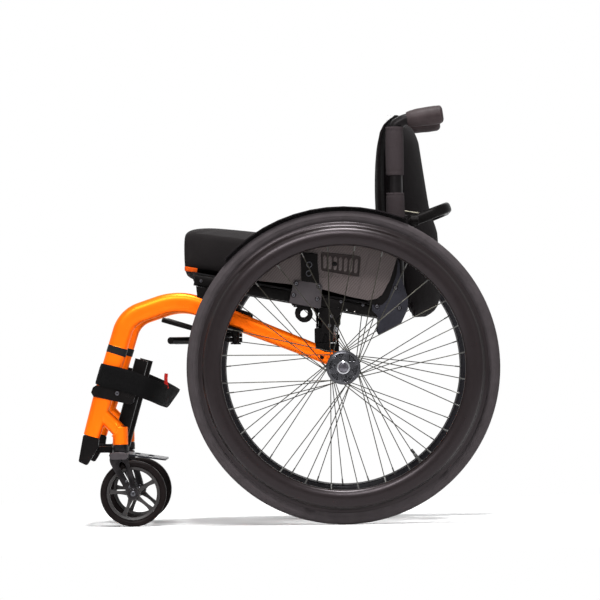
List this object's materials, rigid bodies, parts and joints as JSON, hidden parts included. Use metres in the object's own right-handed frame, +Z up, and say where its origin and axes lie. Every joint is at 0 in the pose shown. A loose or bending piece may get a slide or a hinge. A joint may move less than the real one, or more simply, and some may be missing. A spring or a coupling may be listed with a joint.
{
  "type": "active wheelchair",
  "caption": "Active folding wheelchair: orange side frames, cross brace, spoked wheels with handrims, castors, carbon guards, cushion, sling back, push grips, footplate and wheel locks.",
  "frame": {"origin": "the centre of the footprint of the whole chair, on the ground", "axes": "+X from the footrest to the push grips, +Y to the rider's right, +Z up"},
  "size_m": [0.7976, 0.6108, 0.785],
  "materials": {
    "orange_paint": "gloss",
    "black_anodised": "satin",
    "steel": "brushed",
    "silver_button": "polished",
    "tyre_rubber": "matte",
    "rim_black": "satin",
    "hub_black": "satin",
    "handrim_black": "satin",
    "castor_black": "satin",
    "grey_anodised": "satin",
    "black_post": "satin",
    "grip_rubber": "matte",
    "carbon_weave": "satin",
    "fender_black": "gloss",
    "shoe_black": "satin",
    "black_fabric": "woven"
  },
  "bodies": {
    "frame_left": {"side_frame_left": "orange_paint", "axle_sleeve_left": "black_anodised", "axle_left": "steel", "rail_saddle_left": "black_anodised", "lower_pivot_left": "black_anodised", "lock_clamp_left": "black_anodised", "footrest_post_left": "black_anodised", "calf_strap": "black_fabric"},
    "frame_right": {"side_frame_right": "orange_paint", "axle_sleeve_right": "black_anodised", "axle_right": "steel", "rail_saddle_right": "black_anodised", "lower_pivot_right": "black_anodised", "lock_clamp_right": "black_anodised", "footrest_post_right": "black_anodised"},
    "brace_a": {"cross_arm_left": "black_anodised", "brace_bolt": "steel"},
    "brace_b": {"cross_arm_right": "black_anodised"},
    "rail_left": {"seat_rail_left": "black_anodised", "upper_pivot_left": "black_anodised", "back_plate_left": "grey_anodised", "side_guard_left": "carbon_weave", "fender_left": "fender_black", "guard_receiver_left": "black_anodised", "seat_sling": "black_fabric", "cushion": "black_fabric"},
    "rail_right": {"seat_rail_right": "black_anodised", "upper_pivot_right": "black_anodised", "back_plate_right": "grey_anodised", "side_guard_right": "carbon_weave", "fender_right": "fender_black", "guard_receiver_right": "black_anodised"},
    "back_left": {"back_post_left": "black_post", "push_grip_left": "grip_rubber", "back_upholstery": "black_fabric"},
    "back_right": {"back_post_right": "black_post", "push_grip_right": "grip_rubber"},
    "bar": {"stabiliser_bar": "black_anodised"},
    "plate": {"footplate": "grey_anodised"},
    "wheel_left": {"tyre_left": "tyre_rubber", "rim_left": "rim_black", "hub_left": "hub_black", "handrim_left": "handrim_black"},
    "button_left": {"axle_button_left": "silver_button"},
    "fork_left": {"castor_fork_left": "black_anodised"},
    "castor_left": {"castor_wheel_left": "castor_black", "castor_tyre_left": "tyre_rubber"},
    "lever_left": {"lock_lever_left": "black_anodised"},
    "shoe_left": {"lock_arm_left": "shoe_black"},
    "wheel_right": {"tyre_right": "tyre_rubber", "rim_right": "rim_black", "hub_right": "hub_black", "handrim_right": "handrim_black"},
    "button_right": {"axle_button_right": "silver_button"},
    "fork_right": {"castor_fork_right": "black_anodised"},
    "castor_right": {"castor_wheel_right": "castor_black", "castor_tyre_right": "tyre_rubber"},
    "lever_right": {"lock_lever_right": "black_anodised"},
    "shoe_right": {"lock_arm_right": "shoe_black"}
  },
  "joints": [
    {"name": "fold", "type": "hinge", "parent": "frame_left", "child": "brace_a", "pos_m": [0.066, -0.183, 0.3545], "axis": [1, 0, 0], "range_deg": [0, 65], "deforming": ["seat_sling", "cushion", "back_upholstery", "calf_strap"]},
    {"name": "brace_cross", "type": "hinge", "parent": "brace_a", "child": "brace_b", "pos_m": [0.0745, 0, 0.37125], "axis": [1, 0, 0], "range_deg": [-130, 0]},
    {"name": "rail_left_hinge", "type": "hinge", "parent": "brace_b", "child": "rail_left", "pos_m": [0.083, -0.183, 0.388], "axis": [1, 0, 0], "range_deg": [0, 65]},
    {"name": "rail_right_hinge", "type": "hinge", "parent": "brace_a", "child": "rail_right", "pos_m": [0.066, 0.183, 0.388], "axis": [1, 0, 0], "range_deg": [-65, 0]},
    {"name": "frame_right_hinge", "type": "hinge", "parent": "brace_b", "child": "frame_right", "pos_m": [0.083, 0.183, 0.3545], "axis": [1, 0, 0], "range_deg": [0, 65]},
    {"name": "back_fold_left", "type": "hinge", "parent": "rail_left", "child": "back_left", "pos_m": [0.2072, -0.195, 0.4417], "axis": [0, -1, 0], "range_deg": [0, 62], "deforming": ["cushion", "back_upholstery"]},
    {"name": "back_fold_right", "type": "hinge", "parent": "rail_right", "child": "back_right", "pos_m": [0.2072, 0.195, 0.4417], "axis": [0, -1, 0], "range_deg": [0, 62]},
    {"name": "bar_swing", "type": "hinge", "parent": "back_left", "child": "bar", "pos_m": [0.235, -0.16, 0.572], "axis": [1, 0, 0], "range_deg": [0, 80.01]},
    {"name": "footplate_flip", "type": "hinge", "parent": "frame_left", "child": "plate", "pos_m": [-0.329, -0.139, 0.1365], "axis": [1, 0, 0], "range_deg": [0, 90.01]},
    {"name": "wheel_spin_left", "type": "hinge", "parent": "frame_left", "child": "wheel_left", "pos_m": [0.104, -0.262, 0.295], "axis": [0, 1, 0], "continuous": true},
    {"name": "axle_button_press_left", "type": "slide", "parent": "frame_left", "child": "button_left", "axis": [0, 1, 0], "range_m": [0, 0.004], "stiffness_N_per_m": 400, "springref_m": -0.002},
    {"name": "castor_swivel_left", "type": "hinge", "parent": "frame_left", "child": "fork_left", "pos_m": [-0.3195, -0.195, 0.1552], "axis": [0, 0, 1], "continuous": true},
    {"name": "castor_spin_left", "type": "hinge", "parent": "fork_left", "child": "castor_left", "pos_m": [-0.2965, -0.195, 0.0625], "axis": [0, 1, 0], "continuous": true},
    {"name": "lock_lever_turn_left", "type": "hinge", "parent": "frame_left", "child": "lever_left", "pos_m": [-0.1015, -0.19, 0.36], "axis": [0, 0, 1], "range_deg": [0, 30]},
    {"name": "lock_arm_turn_left", "type": "hinge", "parent": "frame_left", "child": "shoe_left", "pos_m": [-0.1015, -0.19, 0.3505], "axis": [0, 0, 1], "range_deg": [0, 32.01]},
    {"name": "wheel_spin_right", "type": "hinge", "parent": "frame_right", "child": "wheel_right", "pos_m": [0.104, 0.262, 0.295], "axis": [0, 1, 0], "continuous": true},
    {"name": "axle_button_press_right", "type": "slide", "parent": "frame_right", "child": "button_right", "axis": [0, -1, 0], "range_m": [0, 0.004], "stiffness_N_per_m": 400, "springref_m": -0.002},
    {"name": "castor_swivel_right", "type": "hinge", "parent": "frame_right", "child": "fork_right", "pos_m": [-0.3195, 0.195, 0.1552], "axis": [0, 0, 1], "continuous": true},
    {"name": "castor_spin_right", "type": "hinge", "parent": "fork_right", "child": "castor_right", "pos_m": [-0.2965, 0.195, 0.0625], "axis": [0, 1, 0], "continuous": true},
    {"name": "lock_lever_turn_right", "type": "hinge", "parent": "frame_right", "child": "lever_right", "pos_m": [-0.1015, 0.19, 0.36], "axis": [0, 0, -1], "range_deg": [0, 30]},
    {"name": "lock_arm_turn_right", "type": "hinge", "parent": "frame_right", "child": "shoe_right", "pos_m": [-0.1015, 0.19, 0.3505], "axis": [0, 0, -1], "range_deg": [0, 32.01]}
  ],
  "couplings": [
    {"joint": "brace_cross", "follows": "fold", "ratio": -2},
    {"joint": "rail_left_hinge", "follows": "fold", "ratio": 1},
    {"joint": "rail_right_hinge", "follows": "fold", "ratio": -1},
    {"joint": "frame_right_hinge", "follows": "fold", "ratio": 1},
    {"joint": "bar_swing", "follows": "fold", "ratio": 1.2308},
    {"joint": "footplate_flip", "follows": "fold", "ratio": 1.3846},
    {"joint": "back_fold_right", "follows": "back_fold_left", "ratio": 1},
    {"joint": "lock_arm_turn_left", "follows": "lock_lever_turn_left", "ratio": 1.0667},
    {"joint": "lock_arm_turn_right", "follows": "lock_lever_turn_right", "ratio": 1.0667}
  ]
}
